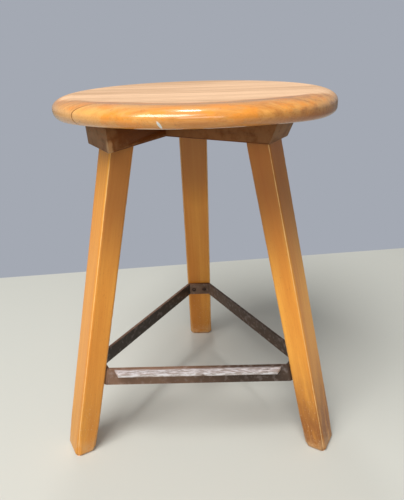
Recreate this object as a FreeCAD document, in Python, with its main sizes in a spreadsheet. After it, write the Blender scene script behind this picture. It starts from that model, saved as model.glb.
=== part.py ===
import FreeCAD, Part

import os

import Sketcher
from FreeCAD import Vector


# Three-legged workshop stool: round seat of glued boards on a T-shaped frame of two bearers,
# three splayed legs tenoned into the bearers, and a foot rest bent from one steel strip into a
# ring, with a tread folded out along its front side.
# The origin is on the floor at the stool's axis, +Z is up and the back leg stands at +Y.

doc = FreeCAD.newDocument("workshop_stool")


# Driving sizes, in millimetres and degrees
sizes = {
    # seat
    "stool_height": 470.0,
    "seat_diameter": 340.0,
    "seat_thickness": 24.0,
    "seat_shift": 6.5,
    "rim_top_radius": 12.0,
    "rim_flat": 1.5,
    "board_width": 47.0,
    # bearers
    "bearer_depth": 28.5,
    "cross_width": 63.0,
    "stem_width": 58.0,
    "cross_overhang": 12.5,
    "cross_lean": 4.0,
    "stem_overhang": 3.5,
    "stem_lean": 23.0,
    "bearer_easing": 1.5,
    # legs
    "foot_circle_radius": 195.0,
    "leg_splay": 12.9,
    "leg_thickness": 29.5,
    "foot_width": 40.0,
    "shoulder_width": 41.0,
    "leg_arris_radius": 2.5,
    "foot_bevel": 2.0,
    "tenon_diameter": 22.0,
    "tenon_length": 22.0,
    "tenon_chamfer": 1.5,
    # dowels between the bearers
    "dowel_diameter": 10.0,
    "dowel_depth": 25.0,
    "dowel_spacing": 28.0,
    "dowel_chamfer": 1.0,
    # foot ring
    "ring_top": 126.5,
    "web_height": 23.0,
    "ring_thickness": 4.0,
    "flange_reach": 16.0,
    "facet_width": 38.0,
    "bend_radius": 2.5,
    "flange_setback": 10.0,
    "flange_corner_cut": 7.0,
    "root_radius": 2.5,
    # screws from the bearers up into the seat
    "seat_screw_length": 45.0,
    "seat_screw_diameter": 5.0,
    "seat_screw_head": 9.6,
    "seat_screw_to_leg": 20.7,
    "stem_screw_inner": 20.0,
    # screws that hold the ring on the legs
    "ring_screw_length": 20.0,
    "ring_screw_diameter": 4.0,
    "ring_screw_head": 7.0,
    "ring_screw_dome": 2.6,
    "ring_screw_rounding": 2.1,
    "ring_screw_spacing": 18.0,
    # shared by all screws
    "screw_slot_width": 1.1,
    "screw_slot_depth": 1.3,
    "screw_point": 5.0,
    # clearances
    "hole_clearance": 0.1,
    "bottom_clearance": 0.8,
}

sheet = doc.addObject("Spreadsheet::Sheet", "Sizes")
for row, (alias, value) in enumerate(sizes.items(), start=1):
    sheet.set(f"A{row}", alias)
    sheet.set(f"B{row}", str(value))
    sheet.setAlias(f"B{row}", alias)
doc.recompute()


# Counts, directions in degrees, and how close in millimetres counts as level
board_count = 7
leg_azimuths = {"leg_back": 90, "leg_front_left": 210, "leg_front_right": 330}
cross_azimuth = 60   # direction in which the cross bearer runs, from the left leg to the back leg
stem_azimuth = 330   # direction in which the stem bearer runs, out to the right leg
leg_turn = 30        # angle between the cross bearer and the radius of either leg that it carries
level_tolerance = 0.01

# Heights and radii that follow from the driving sizes
tan_splay = "tan(Sizes.leg_splay * 1 deg)"
cos_splay = "cos(Sizes.leg_splay * 1 deg)"
seat_radius = "(Sizes.seat_diameter / 2)"
seat_bottom = "(Sizes.stool_height - Sizes.seat_thickness)"
shoulder = f"({seat_bottom} - Sizes.bearer_depth)"
half_leg = "(Sizes.leg_thickness / 2)"


def leg_centre(height):
    """Distance of a leg's centre line from the stool's axis at a height."""
    return f"(Sizes.foot_circle_radius - ({height}) * {tan_splay})"


def leg_inner(height):
    return f"({leg_centre(height)} - {half_leg})"


shoulder_radius = leg_centre(shoulder)
cross_centre = f"({shoulder_radius} * sin({leg_turn} deg))"
cross_inner = f"({cross_centre} - Sizes.cross_width / 2)"
shoulder_outer = f"({shoulder_radius} + {half_leg})"
cross_end = f"({shoulder_outer} + Sizes.cross_overhang + Sizes.bearer_depth * tan(Sizes.cross_lean * 1 deg))"
stem_end = f"({shoulder_outer} + Sizes.stem_overhang + Sizes.bearer_depth * tan(Sizes.stem_lean * 1 deg))"
beyond_end = f"(max({cross_end}; {stem_end}) + Sizes.seat_thickness)"
dowel_height = f"({shoulder} + Sizes.bearer_depth / 2)"
ring_bottom = "(Sizes.ring_top - Sizes.web_height)"
ring_middle = "(Sizes.ring_top - Sizes.web_height / 2)"


# Helpers for bodies, sketches and features

def value_of(expression):
    return float(sheet.evalExpression(str(expression)))


def new_body(name):
    body = doc.addObject("PartDesign::Body", name)
    body.Label = name
    return body


def origin_plane(body, role):
    return next(f for f in body.Origin.OriginFeatures if f.Role == role)


def place(thing, *steps):
    """Binds a placement to the product of its steps, each a placement expression."""
    thing.setExpression("Placement", " * ".join(steps))


def shift(across=0, along=0, up=0):
    return f"placement(vector({across}; {along}; {up}); rotation(vector(0; 0; 1); 0))"


def spin(angle):
    return f"placement(vector(0; 0; 0); rotation(vector(0; 0; 1); {angle}))"


def tilt(angle):
    return f"placement(vector(0; 0; 0); rotation(vector(0; 1; 0); {angle}))"


def attach(sketch, body, role, *steps):
    sketch.AttachmentSupport = [(origin_plane(body, role), "")]
    sketch.MapMode = "FlatFace"
    if steps:
        sketch.setExpression("AttachmentOffset", " * ".join(steps))


def pin_point(sketch, geometry, end, x, y, name):
    """Ties one end of a sketch line to expressions for its two coordinates."""
    for kind, wanted, axis, letter in (("DistanceX", x, -2, "x"), ("DistanceY", y, -1, "y")):
        if str(wanted) == "0":
            sketch.addConstraint(Sketcher.Constraint("PointOnObject", geometry, end, axis))
            continue
        amount = value_of(wanted)
        number = sketch.addConstraint(Sketcher.Constraint(kind, -1, 1, geometry, end, amount))
        sketch.renameConstraint(number, f"{name}_{letter}")
        sketch.setExpression(f"Constraints.{name}_{letter}", str(wanted))


def outline(body, name, role, points, *steps):
    """A closed outline of straight lines through points given as pairs of expressions."""
    sketch = body.newObject("Sketcher::SketchObject", name)
    attach(sketch, body, role, *steps)
    corners = [Vector(value_of(x), value_of(y), 0) for x, y in points]
    count = len(corners)
    for i in range(count):
        sketch.addGeometry(Part.LineSegment(corners[i], corners[(i + 1) % count]), False)
    for i in range(count):
        sketch.addConstraint(Sketcher.Constraint("Coincident", i, 2, (i + 1) % count, 1))
    for i, (x, y) in enumerate(points):
        pin_point(sketch, i, 1, x, y, f"corner{i}")
    return sketch


def circles(body, name, role, centres, diameter, *steps):
    """Equal circles about centres given as pairs of expressions."""
    sketch = body.newObject("Sketcher::SketchObject", name)
    attach(sketch, body, role, *steps)
    for i, (x, y) in enumerate(centres):
        centre = Vector(value_of(x), value_of(y), 0)
        sketch.addGeometry(Part.Circle(centre, Vector(0, 0, 1), value_of(diameter) / 2), False)
        pin_point(sketch, i, 3, x, y, f"centre{i}")
        number = sketch.addConstraint(Sketcher.Constraint("Diameter", i, value_of(diameter)))
        sketch.renameConstraint(number, f"width{i}")
        sketch.setExpression(f"Constraints.width{i}", str(diameter))
    return sketch


def pad(body, name, sketch, length, both_ways=False):
    feature = body.newObject("PartDesign::Pad", name)
    feature.Profile = sketch
    feature.setExpression("Length", str(length))
    feature.Midplane = both_ways
    return feature


def pocket(body, name, sketch, length, reverse=False, both_ways=False):
    """Cuts a sketch into the body, and stops if nothing was cut."""
    doc.recompute()
    before = body.Shape.Volume
    feature = body.newObject("PartDesign::Pocket", name)
    feature.Profile = sketch
    feature.setExpression("Length", str(length))
    feature.Reversed = reverse
    feature.Midplane = both_ways
    doc.recompute()
    if body.Shape.Volume >= before:
        raise RuntimeError(f"{name} cuts nothing")
    return feature


def revolve(body, name, sketch):
    feature = body.newObject("PartDesign::Revolution", name)
    feature.Profile = sketch
    feature.ReferenceAxis = (sketch, ["V_Axis"])
    feature.Angle = 360
    return feature


def edges_where(feature, test):
    return [f"Edge{i}" for i, edge in enumerate(feature.Shape.Edges, start=1) if test(edge)]


def dress(body, name, kind, base, edges, size_name, size):
    """A fillet or chamfer on the edges that were found on the base feature."""
    feature = body.newObject(f"PartDesign::{kind}", name)
    feature.Base = (base, edges)
    feature.setExpression(size_name, str(size))
    return feature


def group(name, members):
    compound = doc.addObject("Part::Compound", name)
    compound.Links = members
    compound.Label = name
    return compound


# Shared frames and shapes

def upright_turn(angle):
    """Turns a sketch on the upright XZ plane about the stool's axis."""
    return f"placement(vector(0; 0; 0); rotation(vector(0; 1; 0); {angle}))"


def lean_face(height):
    """Moves a sketch from the YZ plane onto a leg's inner face at a height."""
    lean = "placement(vector(0; 0; 0); rotation(vector(1; 0; 0); -Sizes.leg_splay))"
    return [shift(0, height, leg_inner(height)), lean]


def along_leg(start):
    """A frame on a leg's centre line, Z up the leg, at a distance from the shoulder."""
    return [shift(shoulder_radius, 0, shoulder), tilt("-Sizes.leg_splay"), shift(0, 0, start)]


tenon_start = "(-Sizes.tenon_diameter / 2)"
mortise_width = "(Sizes.tenon_diameter + 2 * Sizes.hole_clearance)"
mortise_length = "(Sizes.tenon_diameter / 2 + Sizes.tenon_length + Sizes.bottom_clearance)"
dowel_hole = "(Sizes.dowel_diameter + 2 * Sizes.hole_clearance)"
dowel_hole_depth = "(Sizes.dowel_depth + Sizes.bottom_clearance)"
seat_screw_hole = "(Sizes.seat_screw_diameter + 2 * Sizes.hole_clearance)"
seat_screw_grip = "(Sizes.seat_screw_length - Sizes.bearer_depth + Sizes.bottom_clearance)"
seat_screw_cone = "((Sizes.seat_screw_head - Sizes.seat_screw_diameter) / 2)"
ring_screw_hole = "(Sizes.ring_screw_diameter + 2 * Sizes.hole_clearance)"
ring_screw_grip = "(Sizes.ring_screw_length - Sizes.ring_thickness + Sizes.bottom_clearance)"

cross_screw_offset = f"({leg_inner(shoulder)} * cos({leg_turn} deg) - Sizes.seat_screw_to_leg)"
cross_screws = [(f"-{cross_screw_offset}", cross_centre), (cross_screw_offset, cross_centre)]
stem_screws = [("Sizes.stem_screw_inner", "0"), (f"({leg_inner(shoulder)} - Sizes.seat_screw_to_leg)", "0")]
ring_screws = [("-Sizes.ring_screw_spacing / 2", "0"), ("Sizes.ring_screw_spacing / 2", "0")]
dowels = ["-Sizes.dowel_spacing / 2", "Sizes.dowel_spacing / 2"]


def turned(body, name, points):
    """A solid of revolution about the body's Z axis."""
    return revolve(body, name, outline(body, f"{name}_profile", "XZ_Plane", points))


def cut_end(body, name, angle, end, lean):
    """Cuts a bearer's end square to the leg's radius, leaning outward as it rises to its end."""
    margin = "Sizes.seat_thickness"
    slope = f"tan({lean} * 1 deg)"
    reach = f"(2 * {beyond_end})"
    points = [
        (f"{end} - (Sizes.bearer_depth + {margin}) * {slope}", f"{shoulder} - {margin}"),
        (reach, f"{shoulder} - {margin}"),
        (reach, f"{seat_bottom} + {margin}"),
        (f"{end} + {margin} * {slope}", f"{seat_bottom} + {margin}"),
    ]
    sketch = outline(body, f"{name}_outline", "XZ_Plane", points, upright_turn(angle))
    return pocket(body, name, sketch, reach, both_ways=True)


def bore_mortise(body, name, angle):
    """Bores the slanted blind hole for a leg's tenon."""
    steps = [spin(angle)] + along_leg(tenon_start)
    sketch = circles(body, f"{name}_outline", "XY_Plane", [("0", "0")], mortise_width, *steps)
    return pocket(body, name, sketch, mortise_length, reverse=True)


def ease_lower_edges(body, base):
    """Rounds the two long edges of a bearer's underside."""
    doc.recompute()
    low = value_of(shoulder)
    long_enough = value_of("Sizes.leg_thickness")

    def is_long_low(edge):
        level = all(abs(v.Z - low) < level_tolerance for v in edge.Vertexes)
        ends = [v.Point for v in edge.Vertexes]
        straight = len(ends) == 2 and abs(ends[0].y - ends[1].y) < level_tolerance
        return level and straight and edge.Length > long_enough

    edges = edges_where(base, is_long_low)
    return dress(body, f"{body.Name}_easing", "Fillet", base, edges, "Radius", "Sizes.bearer_easing")


def bore_seat_screws(body, centres):
    """Bores the clearance holes and countersinks from a bearer's underside."""
    sketch = circles(body, f"{body.Name}_holes", "XY_Plane", centres, seat_screw_hole, shift(0, 0, shoulder))
    pocket(body, f"{body.Name}_screw_holes", sketch, "Sizes.bearer_depth", reverse=True)
    for i, (x, y) in enumerate(centres):
        cone = body.newObject("PartDesign::SubtractiveCone", f"{body.Name}_countersink_{i + 1}")
        cone.setExpression("Radius1", "Sizes.seat_screw_head / 2 + Sizes.hole_clearance")
        cone.setExpression("Radius2", f"{seat_screw_hole} / 2")
        cone.setExpression("Height", seat_screw_cone)
        place(cone, shift(x, y, shoulder))


# Seat: one round blank with a bullnose rim, a little off the axis, sawn into its glued boards

def make_seat_blank():
    body = new_body("seat_blank")
    points = [
        ("0", seat_bottom),
        (seat_radius, seat_bottom),
        (seat_radius, "Sizes.stool_height"),
        ("0", "Sizes.stool_height"),
    ]
    disc = turned(body, "seat_disc", points)
    doc.recompute()
    top = value_of("Sizes.stool_height")
    upper = edges_where(disc, lambda e: e.Length > top and abs(e.BoundBox.ZMin - top) < level_tolerance)
    rounded = dress(body, "rim_top", "Fillet", disc, upper, "Radius", "Sizes.rim_top_radius")
    doc.recompute()
    low = value_of(seat_bottom)
    lower = edges_where(rounded, lambda e: e.Length > top and abs(e.BoundBox.ZMax - low) < level_tolerance)
    lower_radius = "Sizes.seat_thickness - Sizes.rim_top_radius - Sizes.rim_flat"
    dress(body, "rim_bottom", "Fillet", rounded, lower, "Radius", lower_radius)
    for name, turn, centres in (("cross", cross_azimuth, cross_screws), ("stem", stem_azimuth, stem_screws)):
        steps = [shift("-Sizes.seat_shift"), spin(turn), shift(0, 0, seat_bottom)]
        sketch = circles(body, f"{name}_pilots_outline", "XY_Plane", centres, seat_screw_hole, *steps)
        pocket(body, f"{name}_pilots", sketch, seat_screw_grip, reverse=True)
    place(body, shift("Sizes.seat_shift"))
    return body


def make_seat_boards(blank):
    boards = []
    half = (board_count - 1) // 2
    for i in range(board_count):
        first = f"({i - half - 0.5} * Sizes.board_width)"
        last = f"({i - half + 0.5} * Sizes.board_width)"
        if i == 0:
            first = f"(-{seat_radius} - Sizes.seat_thickness)"
        if i == board_count - 1:
            last = f"({seat_radius} + Sizes.seat_thickness)"
        stock = doc.addObject("Part::Box", f"board_stock_{i + 1}")
        stock.setExpression("Length", "2 * Sizes.seat_diameter")
        stock.setExpression("Width", f"{last} - {first}")
        stock.setExpression("Height", "3 * Sizes.seat_thickness")
        place(stock, shift("-Sizes.seat_diameter", first, f"{seat_bottom} - Sizes.seat_thickness"))
        board = doc.addObject("Part::Common", f"seat_board_{i + 1}")
        board.Base = blank
        board.Tool = stock
        board.Label = board.Name
        boards.append(board)
    return boards


# Bearers: the cross bearer joins the left and back legs, the stem runs from it to the right leg

def make_cross_bearer():
    body = new_body("cross_bearer")
    outer = f"({cross_centre} + Sizes.cross_width / 2)"
    points = [
        (f"-{beyond_end}", cross_inner),
        (beyond_end, cross_inner),
        (beyond_end, outer),
        (f"-{beyond_end}", outer),
    ]
    stock = outline(body, "cross_stock_outline", "XY_Plane", points, shift(0, 0, shoulder))
    pad(body, "cross_stock", stock, "Sizes.bearer_depth")
    cut_end(body, "cross_end_back", leg_turn, cross_end, "Sizes.cross_lean")
    last_cut = cut_end(body, "cross_end_left", 180 - leg_turn, cross_end, "Sizes.cross_lean")
    ease_lower_edges(body, last_cut)
    bore_mortise(body, "cross_mortise_back", leg_turn)
    bore_mortise(body, "cross_mortise_left", 180 - leg_turn)
    centres = [(across, dowel_height) for across in dowels]
    joint_face = shift(0, 0, f"-{cross_inner}")
    holes = circles(body, "cross_dowel_outline", "XZ_Plane", centres, dowel_hole, joint_face)
    pocket(body, "cross_dowel_holes", holes, dowel_hole_depth)
    bore_seat_screws(body, cross_screws)
    place(body, spin(cross_azimuth))
    return body


def make_stem_bearer():
    body = new_body("stem_bearer")
    points = [
        (f"-{cross_inner}", "-Sizes.stem_width / 2"),
        (beyond_end, "-Sizes.stem_width / 2"),
        (beyond_end, "Sizes.stem_width / 2"),
        (f"-{cross_inner}", "Sizes.stem_width / 2"),
    ]
    stock = outline(body, "stem_stock_outline", "XY_Plane", points, shift(0, 0, shoulder))
    pad(body, "stem_stock", stock, "Sizes.bearer_depth")
    last_cut = cut_end(body, "stem_end", 0, stem_end, "Sizes.stem_lean")
    ease_lower_edges(body, last_cut)
    bore_mortise(body, "stem_mortise", 0)
    centres = [(across, dowel_height) for across in dowels]
    joint_face = shift(0, 0, f"-{cross_inner}")
    holes = circles(body, "stem_dowel_outline", "YZ_Plane", centres, dowel_hole, joint_face)
    pocket(body, "stem_dowel_holes", holes, dowel_hole_depth, reverse=True)
    bore_seat_screws(body, stem_screws)
    place(body, spin(stem_azimuth))
    return body


def make_dowels():
    members = []
    radius = "Sizes.dowel_diameter / 2"
    for i, across in enumerate(dowels, start=1):
        dowel = new_body(f"bearer_dowel_{i}")
        points = [
            ("0", "-Sizes.dowel_depth"),
            (f"{radius} - Sizes.dowel_chamfer", "-Sizes.dowel_depth"),
            (radius, "-Sizes.dowel_depth + Sizes.dowel_chamfer"),
            (radius, "Sizes.dowel_depth - Sizes.dowel_chamfer"),
            (f"{radius} - Sizes.dowel_chamfer", "Sizes.dowel_depth"),
            ("0", "Sizes.dowel_depth"),
        ]
        turned(dowel, f"dowel_{i}", points)
        place(dowel, spin(stem_azimuth), shift(f"-{cross_inner}", across, dowel_height), tilt(90))
        members.append(dowel)
    return group("bearer_dowels", members)


# Legs: tapered, splayed, cut level at the shoulder, with a round tenon along the leg

def saw_leg_blank(body):
    """The splayed, tapered blank, level at the floor and at the shoulder."""
    floor_inner = leg_inner("0")
    shoulder_inner = leg_inner(shoulder)
    side_view = [
        (floor_inner, "0"),
        (f"{floor_inner} + Sizes.leg_thickness", "0"),
        (f"{shoulder_inner} + Sizes.leg_thickness", shoulder),
        (shoulder_inner, shoulder),
    ]
    stock_width = "(max(Sizes.foot_width; Sizes.shoulder_width) + Sizes.leg_thickness)"
    stock = pad(body, f"{body.Name}_stock", outline(body, f"{body.Name}_side", "XZ_Plane", side_view),
                stock_width, both_ways=True)
    taper = f"((Sizes.shoulder_width - Sizes.foot_width) / 2 / {shoulder})"
    margin = "Sizes.leg_thickness"
    for side in ("-", ""):
        front_view = [
            (f"{side}(Sizes.foot_width / 2 - {margin} * {taper})", f"-{margin}"),
            (f"{side}{stock_width}", f"-{margin}"),
            (f"{side}{stock_width}", f"{shoulder} + {margin}"),
            (f"{side}(Sizes.shoulder_width / 2 + {margin} * {taper})", f"{shoulder} + {margin}"),
        ]
        hand = "left" if side else "right"
        waste = outline(body, f"{body.Name}_{hand}_waste", "YZ_Plane", front_view)
        through = "4 * Sizes.foot_circle_radius"
        blank = pocket(body, f"{body.Name}_{hand}_taper", waste, through, both_ways=True)
    return blank


def make_leg(name, azimuth):
    body = new_body(name)
    blank = saw_leg_blank(body)
    doc.recompute()
    half_height = value_of(f"{shoulder} / 2")
    rising = edges_where(blank, lambda e: e.BoundBox.ZLength > half_height)
    eased = dress(body, f"{name}_arrises", "Fillet", blank, rising, "Radius", "Sizes.leg_arris_radius")
    doc.recompute()
    resting = edges_where(eased, lambda e: e.BoundBox.ZMax < level_tolerance)
    dress(body, f"{name}_foot_bevel", "Chamfer", eased, resting, "Size", "Sizes.foot_bevel")
    end = circles(body, f"{name}_tenon_outline", "XY_Plane", [("0", "0")], "Sizes.tenon_diameter",
                  *along_leg(tenon_start))
    tenon = pad(body, f"{name}_tenon", end, "Sizes.tenon_diameter / 2 + Sizes.tenon_length")
    doc.recompute()
    end_height = value_of(f"{shoulder} + Sizes.tenon_length / 2")
    width = value_of("Sizes.tenon_diameter")
    tip = edges_where(tenon, lambda e: e.BoundBox.ZMin > end_height and e.Length > width)
    dress(body, f"{name}_tenon_tip", "Chamfer", tenon, tip, "Size", "Sizes.tenon_chamfer")
    pilots = circles(body, f"{name}_pilots_outline", "YZ_Plane", ring_screws, ring_screw_hole,
                     *lean_face(ring_middle))
    pocket(body, f"{name}_pilots", pilots, ring_screw_grip, reverse=True)
    place(body, spin(azimuth))
    return body


# Foot ring: a bent strip that leans with the legs, its front side folded outward into a tread

def side_distance(height):
    """Distance of a side's outer face from the stool's axis at a height."""
    return f"({leg_inner(height)} * cos(60 deg) + Sizes.facet_width / 2 * sin(60 deg))"


def trim_ring(body, name, azimuth, distance):
    """Cuts a leaning plane on the ring's stock, here and at the other two places round the axis."""
    low = f"({ring_bottom} - Sizes.ring_thickness)"
    high = "(Sizes.ring_top + Sizes.ring_thickness)"
    reach = "(2 * Sizes.foot_circle_radius)"
    points = [
        (distance(low), low),
        (reach, low),
        (reach, high),
        (distance(high), high),
    ]
    waste = outline(body, f"{name}_waste", "XZ_Plane", points, upright_turn(azimuth))
    cut = pocket(body, name, waste, f"2 * {reach}", both_ways=True)
    return around(body, f"{name}_around", cut)


def make_foot_ring():
    body = new_body("foot_ring")
    disc = circles(body, "ring_stock_outline", "XY_Plane", [("0", "0")], "2 * Sizes.foot_circle_radius",
                   shift(0, 0, ring_bottom))
    pad(body, "ring_stock", disc, "Sizes.web_height")
    trim_ring(body, "ring_facet", 90, leg_inner)
    core = trim_ring(body, "ring_side", 30, side_distance)
    doc.recompute()
    half_height = value_of("Sizes.web_height / 2")
    rising = edges_where(core, lambda e: e.BoundBox.ZLength > half_height)
    outer_bend = "Sizes.bend_radius + Sizes.ring_thickness"
    bent = dress(body, "ring_bends", "Fillet", core, rising, "Radius", outer_bend)
    doc.recompute()
    faces = enumerate(bent.Shape.Faces, start=1)
    level = [f"Face{i}" for i, face in faces if face.BoundBox.ZLength < level_tolerance]
    web = body.newObject("PartDesign::Thickness", "ring_web")
    web.Base = (bent, level)
    web.setExpression("Value", "Sizes.ring_thickness")
    web.Reversed = True
    web.Join = "Arc"
    doc.recompute()
    make_flange(body)
    pilots = circles(body, "ring_holes_outline", "YZ_Plane", ring_screws, ring_screw_hole,
                     upright_turn(90), *lean_face(ring_middle))
    holes = pocket(body, "ring_holes", pilots, "2 * Sizes.ring_thickness")
    around(body, "ring_holes_around", holes)
    return body


def around(body, name, feature):
    """Repeats a feature at the other two legs or sides."""
    before = body.Shape.Volume
    pattern = body.newObject("PartDesign::PolarPattern", name)
    pattern.Originals = [feature]
    pattern.Axis = (origin_plane(body, "Z_Axis"), [""])
    pattern.Angle = 360
    pattern.Occurrences = 3
    body.Tip = pattern
    doc.recompute()
    if abs(body.Shape.Volume - before) < 1:
        raise RuntimeError(f"{name} changes nothing")
    return pattern


def make_flange(body):
    """The level tread at the top of the front side, pointing outward, with its corners cut."""
    side = side_distance("Sizes.ring_top")
    half = f"({leg_inner('Sizes.ring_top')} * sin(60 deg) - Sizes.facet_width / 2 * cos(60 deg))"
    root = f"({side} - Sizes.ring_thickness / 2)"
    toe = f"({side} + Sizes.flange_reach - Sizes.ring_thickness)"
    long = f"({half} - Sizes.flange_setback)"
    short = f"({long} - Sizes.flange_corner_cut)"
    points = [
        (f"-{long}", root),
        (long, root),
        (long, side),
        (short, toe),
        (f"-{short}", toe),
        (f"-{long}", side),
    ]
    plan = outline(body, "flange_outline", "XY_Plane", points, spin(180), shift(0, 0, "Sizes.ring_top"))
    flange = body.newObject("PartDesign::Pad", "flange")
    flange.Profile = plan
    flange.setExpression("Length", "Sizes.ring_thickness")
    flange.Reversed = True
    doc.recompute()
    level = value_of("Sizes.ring_top - Sizes.ring_thickness")
    root_limit = value_of(f"{side} + Sizes.ring_thickness")

    def is_root(edge):
        middle = edge.CenterOfMass
        near = (middle.x ** 2 + middle.y ** 2) ** 0.5 < root_limit
        return near and abs(middle.z - level) < level_tolerance and edge.Length > value_of(short)

    dress(body, "flange_root", "Fillet", flange, edges_where(flange, is_root), "Radius", "Sizes.root_radius")


# Screws, each turned about its own axis with a slot across the head

def cut_slot(body, name, top, width):
    half = "Sizes.screw_slot_width / 2"
    points = [
        (f"-{width}", f"-{half}"),
        (width, f"-{half}"),
        (width, half),
        (f"-{width}", half),
    ]
    sketch = outline(body, f"{name}_slot_outline", "XY_Plane", points, shift(0, 0, top))
    pocket(body, f"{name}_slot", sketch, "Sizes.screw_slot_depth", reverse=True)


def make_seat_screw(name, azimuth, centre):
    body = new_body(name)
    shank = "Sizes.seat_screw_diameter / 2"
    points = [
        ("0", "0"),
        ("Sizes.seat_screw_head / 2", "0"),
        (shank, seat_screw_cone),
        (shank, "Sizes.seat_screw_length - Sizes.screw_point"),
        ("0", "Sizes.seat_screw_length"),
    ]
    turned(body, f"{name}_turned", points)
    cut_slot(body, name, "0", "Sizes.seat_screw_head")
    place(body, spin(azimuth), shift(centre[0], centre[1], shoulder))
    return body


def make_ring_screw(name, azimuth, across):
    body = new_body(name)
    shank = "Sizes.ring_screw_diameter / 2"
    head = "Sizes.ring_screw_head / 2"
    dome = "Sizes.ring_screw_dome"
    points = [
        ("0", f"-{dome}"),
        (head, f"-{dome}"),
        (head, "0"),
        (shank, "0"),
        (shank, "Sizes.ring_screw_length - Sizes.screw_point"),
        ("0", "Sizes.ring_screw_length"),
    ]
    blank = turned(body, f"{name}_turned", points)
    doc.recompute()
    crown = value_of(f"-{dome}")
    width = value_of("Sizes.ring_screw_head")
    rim = edges_where(blank, lambda e: abs(e.BoundBox.ZMax - crown) < level_tolerance and e.Length > width)
    dress(body, f"{name}_dome", "Fillet", blank, rim, "Radius", "Sizes.ring_screw_rounding")
    cut_slot(body, name, f"-{dome}", head)
    frame = [shift(leg_inner(ring_middle), 0, ring_middle), tilt("90 - Sizes.leg_splay")]
    place(body, spin(azimuth), *frame, shift(0, across, "-Sizes.ring_thickness"))
    return body


def make_screws():
    groups = []
    rows = (("cross", cross_azimuth, cross_screws), ("stem", stem_azimuth, stem_screws))
    for part, azimuth, centres in rows:
        screws = []
        for i, centre in enumerate(centres, start=1):
            screws.append(make_seat_screw(f"{part}_screw_{i}", azimuth, centre))
        groups.append(group(f"{part}_bearer_screws", screws))
    for leg, azimuth in leg_azimuths.items():
        screws = []
        for i, (across, _) in enumerate(ring_screws, start=1):
            screws.append(make_ring_screw(f"{leg}_ring_screw_{i}", azimuth, across))
        groups.append(group(f"ring_screws_{leg[4:]}", screws))
    return groups


# Build, test and write

def check(thing):
    bad = {"Invalid", "Error"} & set(thing.State)
    if bad:
        raise RuntimeError(f"{thing.Name} is {bad}")


subparts = make_seat_boards(make_seat_blank())
subparts += [make_cross_bearer(), make_stem_bearer(), make_dowels()]
subparts += [make_leg(name, azimuth) for name, azimuth in leg_azimuths.items()]
subparts += [make_foot_ring()]
subparts += make_screws()
doc.recompute()

for thing in doc.Objects:
    check(thing)
for subpart in subparts:
    shape = subpart.Shape
    if shape.isNull() or not shape.isValid() or not shape.Solids:
        raise RuntimeError(f"{subpart.Label} has no valid solid")

os.makedirs("parts", exist_ok=True)
for subpart in subparts:
    subpart.Shape.exportStep(os.path.join("parts", f"{subpart.Label}.step"))
    box = subpart.Shape.BoundBox
    print(f"{subpart.Label}: {len(subpart.Shape.Solids)} solid(s), {subpart.Shape.Volume / 1000:.1f} cm3,"
          f" z {box.ZMin:.1f} to {box.ZMax:.1f}")
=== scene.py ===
import math

import bmesh
import bpy
from mathutils import Matrix, Vector


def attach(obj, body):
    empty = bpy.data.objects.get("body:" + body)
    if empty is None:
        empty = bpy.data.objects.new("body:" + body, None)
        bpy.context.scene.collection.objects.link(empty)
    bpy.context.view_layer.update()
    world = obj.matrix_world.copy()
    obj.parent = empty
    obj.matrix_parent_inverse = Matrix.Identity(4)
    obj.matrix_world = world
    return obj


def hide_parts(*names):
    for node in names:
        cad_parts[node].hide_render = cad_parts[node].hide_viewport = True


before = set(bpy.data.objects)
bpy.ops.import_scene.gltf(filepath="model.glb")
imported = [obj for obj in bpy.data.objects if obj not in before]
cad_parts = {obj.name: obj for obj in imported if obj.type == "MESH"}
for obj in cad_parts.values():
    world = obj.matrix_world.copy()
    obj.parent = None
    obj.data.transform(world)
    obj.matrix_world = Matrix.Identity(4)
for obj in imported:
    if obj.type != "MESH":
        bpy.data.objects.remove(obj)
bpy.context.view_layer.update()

print("frame loaded with", len(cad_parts), "nodes")

bpy.context.scene.view_settings.view_transform = "Standard"


# ---- small tools: node trees written as sums, and meshes grown from them

weld = 0.00001      # metres below which two points are one


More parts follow.
